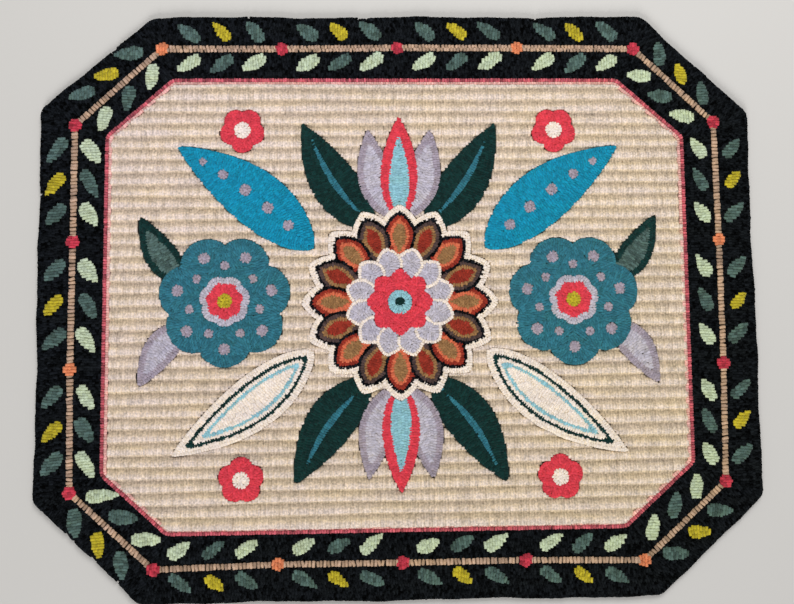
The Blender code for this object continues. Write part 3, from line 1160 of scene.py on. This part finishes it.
class Value:
    """A socket that can be used in sums, as a number can."""

    def __init__(self, maker: MaterialMaker, socket: Socket) -> None:
        """Wrap a socket of a maker's node tree."""
        self.maker, self.socket = maker, socket

    def __add__(self, other: Value | float) -> Value:
        """Add."""
        return self.maker.maths("ADD", self, other)

    def __sub__(self, other: Value | float) -> Value:
        """Subtract."""
        return self.maker.maths("SUBTRACT", self, other)

    def __rsub__(self, other: float) -> Value:
        """Subtract from a number."""
        return self.maker.maths("SUBTRACT", other, self)

    def __mul__(self, other: Value | float) -> Value:
        """Multiply."""
        return self.maker.maths("MULTIPLY", self, other)

    __radd__ = __add__
    __rmul__ = __mul__


class MaterialMaker:
    """Makes one material's node tree."""

    def __init__(self, name: str) -> None:
        """Start a material with its Principled shader.

        Args:
            name: the material's name.
        """
        self.material = bpy.data.materials.new(name)
        self.material.use_nodes = True
        self.tree = self.material.node_tree
        self.shader = self.tree.nodes["Principled BSDF"]

    def node(self, kind: str, settings: dict | None = None, inputs: dict | None = None) -> bpy.types.Node:
        """Add a node.

        Args:
            kind: the node's type.
            settings: its own settings, which are set first.
            inputs: values or links for its sockets, by name or number.

        Returns:
            The node.
        """
        made = self.tree.nodes.new(kind)
        for name, value in (settings or {}).items():
            setattr(made, name, value)
        for name, value in (inputs or {}).items():
            self.feed(made.inputs[name], value)
        return made

    def feed(self, socket: Socket, value: Value | Socket | float | tuple) -> None:
        """Link a socket, or set its value."""
        if isinstance(value, Value):
            self.tree.links.new(value.socket, socket)
        elif isinstance(value, bpy.types.NodeSocket):
            self.tree.links.new(value, socket)
        else:
            socket.default_value = value

    def maths(self, operation: str, *values: Value | float) -> Value:
        """Work out one Math node's sum."""
        made = self.node("ShaderNodeMath", {"operation": operation}, dict(enumerate(values)))
        return Value(self, made.outputs[0])

    def blended(
        self, share: Value | float, first: Value | tuple, second: Value | tuple, blend: str = "MIX"
    ) -> Value:
        """Mix two colours.

        Args:
            share: how much of the second there is.
            first: one colour.
            second: the other.
            blend: the Mix node's way of blending them.

        Returns:
            The mixed colour.
        """
        settings = {"data_type": "RGBA", "blend_type": blend}
        made = self.node("ShaderNodeMix", settings, {0: share, 6: first, 7: second})
        return Value(self, made.outputs[2])

    def noise(self, where: Socket, scale: float, detail: float = 2.0) -> Value:
        """Give an even cloud of values from 0 to 1."""
        inputs = {"Vector": where, "Scale": scale, "Detail": detail, "Roughness": 0.6}
        return Value(self, self.node("ShaderNodeTexNoise", None, inputs).outputs["Fac"])

    def ramp(self, value: Value, low: float, high: float, first: float = 0.0, last: float = 1.0) -> Value:
        """Spread a value's stretch from low to high over first to last, and hold it there."""
        inputs = {"Value": value, "From Min": low, "From Max": high, "To Min": first, "To Max": last}
        return Value(self, self.node("ShaderNodeMapRange", None, inputs).outputs[0])

    def bump(self, height: Value, distance: float, strength: float) -> Socket:
        """Turn heights into surface relief."""
        inputs = {"Height": height, "Distance": distance, "Strength": strength}
        return self.node("ShaderNodeBump", None, inputs).outputs[0]


@dataclass(frozen=True)
class WoolFinish:
    """How the yarn looks: dyed wool with painted shade down in the pile, plied twist and a soft fuzz."""

    roughness: float = 0.92
    sheen_roughness: float = 0.5
    gloss: float = 0.04
    twists: float = 5.0
    twist_depth: float = 0.25 * MM
    fibre_scale: float = 2200.0
    fleck_scale: float = 430.0
    # painted shade: the yarn is drawn darker from pile_lit down to pile_floor, reaching floor_shade there
    pile_floor: float = 2.4 * MM
    pile_lit: float = 6.3 * MM
    floor_shade: float = 0.50
    lit_blend: float = 0.5 * MM
    fibre_depth: float = 0.35
    patch_scale: float = 16.0
    patch_stretch: float = 4.5
    patch_depth: float = 0.25
    patch_blue: float = 0.12
    # how much of the painted shade's yellow tint is taken from green as well as blue
    shade_warm_green: float = 0.2
    plies: float = 2.0
    ply_relief: float = 0.5
    fibre_relief: float = 0.8
    relief: float = 0.6
    drift: tuple[float, float] = (-0.12, 0.10)  # how much bluer for each metre to the right and up

    def material(self, yarn: Yarn) -> bpy.types.Material:
        """Make the material of one yarn.

        Args:
            yarn: the yarn.

        Returns:
            Its material.
        """
        wool = yarn.value
        maker = MaterialMaker(f"wool_{yarn.name.lower()}")
        place = maker.node("ShaderNodeTexCoord").outputs["Object"]
        shade = Value(maker, maker.node("ShaderNodeAttribute", {"attribute_name": "shade"}).outputs["Fac"])
        parts = maker.node("ShaderNodeSeparateXYZ", None, {0: place}).outputs
        across, upward, rise = (Value(maker, part) for part in parts)
        drift = across * self.drift[0] + upward * self.drift[1]
        fibre = maker.noise(place, self.fibre_scale)
        fleck = maker.noise(place, self.fleck_scale)
        stretch = (1.0, self.patch_stretch, 1.0)
        bands = maker.node("ShaderNodeMapping", None, {"Vector": place, "Scale": stretch}).outputs[0]
        patch = maker.noise(bands, self.patch_scale)
        # Painted shade: the lower the yarn lies in the pile, the darker it is drawn.
        depth = maker.ramp(rise, self.pile_floor, self.pile_lit, self.floor_shade, 1.0)
        unevenness = (fibre - 0.5) * self.fibre_depth + (fleck - 0.5) * wool.fleck + (patch - 0.5) * self.patch_depth
        # the painted shade times the yarn's own uneven tone
        light = depth * (1 + shade * wool.mottle + unevenness)
        # Painted shade tint: yarn below the lit top of the pile is drawn yellower, more so in its patches.
        low, high = self.pile_lit - self.lit_blend, self.pile_lit + self.lit_blend
        shade_warmth = maker.ramp(rise, low, high, wool.shade_warmth, 0.0) * (patch + 0.5)
        green = light * (1 - shade_warmth * self.shade_warm_green)
        blue = light * (1 - shade_warmth - (patch - 0.5) * self.patch_blue + drift)
        tint = maker.node("ShaderNodeCombineColor", None, {0: light, 1: green, 2: blue}).outputs[0]
        colour = maker.blended(1.0, wool.colour(), tint, "MULTIPLY")
        maker.feed(maker.shader.inputs["Base Color"], colour)
        yarn_map = maker.node("ShaderNodeUVMap", {"uv_map": "yarn"}).outputs[0]
        along = maker.node("ShaderNodeSeparateXYZ", None, {0: yarn_map})
        turn = Value(maker, along.outputs[0]) * self.twists + Value(maker, along.outputs[1]) * self.plies
        ply = maker.maths("SINE", turn * (2 * math.pi))
        height = ply * self.ply_relief + fibre * self.fibre_relief
        maker.feed(maker.shader.inputs["Normal"], maker.bump(height, self.twist_depth, self.relief))
        maker.shader.inputs["Roughness"].default_value = self.roughness
        maker.shader.inputs["Sheen Weight"].default_value = wool.sheen
        maker.shader.inputs["Sheen Roughness"].default_value = self.sheen_roughness
        maker.shader.inputs["Specular IOR Level"].default_value = self.gloss
        return maker.material


@dataclass(frozen=True)
class LinenFinish:
    """How the foundation looks: plain-woven natural linen."""

    colour: tuple[float, float, float, float] = (0.52, 0.43, 0.31, 1.0)
    shade: tuple[float, float, float, float] = (0.36, 0.29, 0.20, 1.0)
    in_shadow: tuple[float, float, float, float] = (0.035, 0.028, 0.022, 1.0)
    thread: float = 1.1 * MM
    slub_scale: float = 260.0
    shadow_heights: tuple[float, float] = (1.0 * MM, 1.8 * MM)
    roughness: float = 0.9

    def material(self) -> bpy.types.Material:
        """Make the linen's material, woven square along X and Y."""
        maker = MaterialMaker("foundation_linen")
        place = maker.node("ShaderNodeTexCoord").outputs["Object"]
        parts = maker.node("ShaderNodeSeparateXYZ", None, {0: place})
        turn = 2 * math.pi / (2 * self.thread)
        warp = maker.maths("SINE", Value(maker, parts.outputs[0]) * turn)
        weft = maker.maths("SINE", Value(maker, parts.outputs[1]) * turn)
        weave = warp * weft * 0.5 + 0.5
        slub = maker.noise(place, self.slub_scale, 3.0)
        colour = maker.blended(weave * 0.6 + slub * 0.4, self.shade, self.colour)
        under_pile = maker.ramp(Value(maker, parts.outputs[2]), *self.shadow_heights)
        colour = maker.blended(under_pile, colour, self.in_shadow)
        maker.feed(maker.shader.inputs["Base Color"], colour)
        maker.feed(maker.shader.inputs["Normal"], maker.bump(weave + slub * 0.3, 0.3 * MM, 0.7))
        maker.shader.inputs["Roughness"].default_value = self.roughness
        return maker.material


@dataclass(frozen=True)
class Foundation:
    """The cloth that the loops are worked through, with its hem turned under."""

    hem_width: float = 32.0 * MM
    hem_thickness: float = 0.9 * MM
    hem_step: float = 0.6 * MM
    top: float = 1.9 * MM
    edge_inset: float = 2.2 * MM
    step: float = 8.0 * MM

    def build(self, edge: Points) -> bpy.types.Object:
        """Build the cloth as one thin closed sheet, thicker where the hem is turned under.

        Args:
            edge: the rug's edge.

        Returns:
            The cloth's object.
        """
        outline = resampled(offset(edge, self.edge_inset), self.step)
        bpy.ops.object.select_all(action="DESELECT")
        bpy.ops.mesh.primitive_circle_add(vertices=len(outline), radius=1.0, fill_type="NGON")
        cloth = bpy.context.object
        cloth.name = cloth.data.name = "foundation"
        for corner, (x, y) in zip(cloth.data.vertices, outline):
            corner.co = (x, y, self.top)
        bpy.ops.object.mode_set(mode="EDIT")
        bpy.ops.mesh.select_all(action="SELECT")
        bpy.ops.mesh.normals_make_consistent(inside=False)
        bpy.ops.mesh.extrude_region_move(TRANSFORM_OT_translate={"value": (0, 0, -self.top)})
        bpy.ops.mesh.inset(thickness=self.hem_width, depth=0)
        bpy.ops.mesh.inset(thickness=self.hem_step, depth=0)
        bpy.ops.transform.translate(value=(0, 0, self.hem_thickness))
        bpy.ops.mesh.select_all(action="SELECT")
        bpy.ops.mesh.normals_make_consistent(inside=False)
        bpy.ops.object.mode_set(mode="OBJECT")
        return cloth


@dataclass(frozen=True)
class Studio:
    """The pale floor, the soft light and the camera, which looks down as the photograph does."""

    camera_place: tuple[float, float, float] = (-0.0267, -0.0611, 0.9100)
    camera_turn: tuple[float, float, float] = (3.874, -1.451, -0.465)
    view_angle: float = 50.0
    sensor_width: float = 36.0
    floor_reach: float = 4.0
    floor_height: float = -0.0002
    floor_colour: tuple[float, float, float, float] = (0.62, 0.60, 0.57, 1.0)
    floor_roughness: float = 0.8
    sky_colour: tuple[float, float, float, float] = (0.95, 0.97, 1.0, 1.0)
    sky_strength: float = 0.30
    lamps: tuple[tuple[str, tuple[float, float, float], float, float], ...] = (  # name, place, size, power
        ("near_window", (-0.9, -5.2, 2.9), 2.4, 240.0),
        ("overhead", (0.3, 1.25, 1.55), 1.1, 25.0),
    )

    def lay_floor(self) -> None:
        """Add the floor that the rug lies on."""
        bpy.ops.object.select_all(action="DESELECT")
        bpy.ops.mesh.primitive_plane_add(size=2 * self.floor_reach, location=(0, 0, self.floor_height))
        floor = bpy.context.object
        floor.name = "floor"
        maker = MaterialMaker("pale_floor")
        maker.shader.inputs["Base Color"].default_value = self.floor_colour
        maker.shader.inputs["Roughness"].default_value = self.floor_roughness
        floor.data.materials.append(maker.material)

    def add_light(self, name: str, place: tuple, size: float, power: float) -> None:
        """Add one soft square light that shines at the rug's middle.

        Args:
            name: its name.
            place: where it stands.
            size: how wide it is.
            power: its power in watts.
        """
        data = bpy.data.lights.new(name, "AREA")
        data.shape = "SQUARE"
        data.size, data.energy = size, power
        lamp = bpy.data.objects.new(name, data)
        lamp.location = place
        lamp.rotation_euler = (-lamp.location).to_track_quat("-Z", "Y").to_euler()
        bpy.context.scene.collection.objects.link(lamp)

    def light(self) -> None:
        """Light the rug softly, most from the near side."""
        for lamp in self.lamps:
            self.add_light(*lamp)
        world = bpy.data.worlds.new("studio")
        world.use_nodes = True
        background = world.node_tree.nodes["Background"]
        background.inputs["Color"].default_value = self.sky_colour
        background.inputs["Strength"].default_value = self.sky_strength
        bpy.context.scene.world = world

    def aim_camera(self) -> None:
        """Add the camera at the photograph's place above the rug."""
        data = bpy.data.cameras.new("camera")
        data.sensor_fit = "HORIZONTAL"
        data.sensor_width = self.sensor_width
        data.lens = data.sensor_width / 2 / math.tan(math.radians(self.view_angle) / 2)
        camera = bpy.data.objects.new("camera", data)
        camera.location = self.camera_place
        camera.rotation_euler = [math.radians(angle) for angle in self.camera_turn]
        bpy.context.scene.collection.objects.link(camera)
        bpy.context.scene.camera = camera

    def build(self) -> None:
        """Set up floor, lights and camera."""
        self.aim_camera()
        self.lay_floor()
        self.light()
        bpy.context.scene.view_settings.view_transform = "Standard"


def dress(pieces: list[bpy.types.Object], cloth: bpy.types.Object, edge: Points) -> None:
    """Put every piece on the rug's body and hide the rug's own part.

    Args:
        pieces: the pile, yarn by yarn.
        cloth: the foundation.
        edge: the rug's edge.
    """
    for piece in (cloth, *pieces):
        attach(piece, "root")
    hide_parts(RUG_NODE)
    width, length = edge.max(axis=0) - edge.min(axis=0)
    after = np.roll(edge, -1, axis=0)
    area = abs(float(np.sum(edge[:, 0] * after[:, 1] - after[:, 0] * edge[:, 1]))) / 2
    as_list(pieces)


def build_pile(gauge: Gauge, rng: np.random.Generator) -> tuple[list[bpy.types.Object], Points]:
    """Hook the whole design and build its pile.

    Args:
        gauge: the maker's gauge.
        rng: where small differences come from.

    Returns:
        The pile's pieces, and the rug's edge.
    """
    ribs = Ribs()
    hooking = Hooking(RugPlan(), gauge, ribs, rng)
    loops = hooking.work()
    log.info("%d loops and %d strands", len(loops.places), len(hooking.strands[0]))
    pile = Pile(gauge, ribs, rng)
    finish = WoolFinish()
    pieces = []
    for number, yarn in enumerate(Yarn):
        mine = loops.yarns == number
        made = []
        if mine.any():
            made += pile.build(f"pile_{yarn.name.lower()}", pile.stand(loops.picked(mine)), pile.loop)
        if yarn is Yarn.OATMEAL:
            made += pile.build("pile_ribbed_ground", pile.lay(*hooking.strands), pile.strand)
        material = finish.material(yarn)
        for piece in made:
            piece.data.materials.append(material)
        pieces += made
    return pieces, hooking.edge


def main() -> None:
    """Dress the frame: studio, pile and foundation, each reported as it is made."""
    logging.basicConfig(level=logging.INFO, format="%(message)s")
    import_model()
    Studio().build()
    gauge = Gauge()
    pieces, edge = build_pile(gauge, np.random.default_rng(SEED))
    cloth = Foundation().build(edge)
    cloth.data.materials.append(LinenFinish().material())
    log.info("foundation: %d faces", len(cloth.data.polygons))
    dress(pieces, cloth, edge)


if __name__ == "__main__":
    main()
